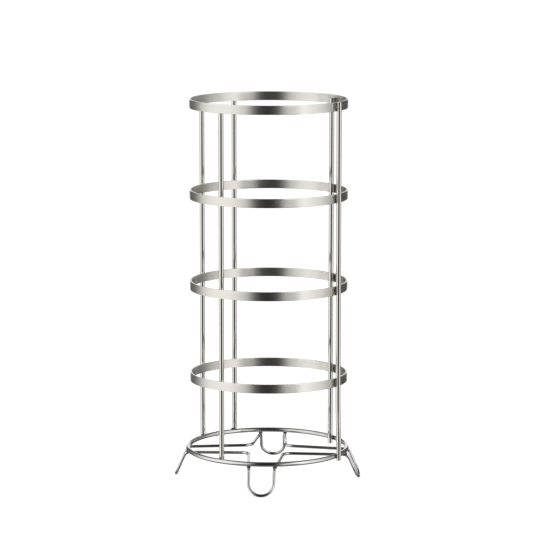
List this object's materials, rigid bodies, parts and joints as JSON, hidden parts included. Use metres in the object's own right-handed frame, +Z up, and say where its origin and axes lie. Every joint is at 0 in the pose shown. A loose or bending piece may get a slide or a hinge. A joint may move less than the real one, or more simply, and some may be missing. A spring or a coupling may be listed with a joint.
{
  "type": "umbrella stand",
  "caption": "Open round umbrella stand of welded stainless band hoops, upright rods, a wire base ring and splayed wire feet.",
  "frame": {"origin": "on the floor, at the centre of the four feet", "axes": "+Z up along the rods, the front foot points along -Y and the right foot along +X"},
  "size_m": [0.2264, 0.2282, 0.461],
  "materials": {
    "band_steel": "satin, brushed round the hoop",
    "rod_steel": "satin, drawn along the rod",
    "ring_steel": "polished wire",
    "foot_steel": "bright polished wire"
  },
  "bodies": {
    "root": {"hoop_top": "band_steel", "hoop_upper": "band_steel", "hoop_lower": "band_steel", "hoop_bottom": "band_steel", "rod_front_right": "rod_steel", "rod_back_right": "rod_steel", "rod_back": "rod_steel", "rod_back_left": "rod_steel", "rod_front_left": "rod_steel", "base_ring": "ring_steel", "foot_front": "foot_steel", "foot_right": "foot_steel", "foot_back": "foot_steel", "foot_left": "foot_steel"}
  },
  "joints": []
}
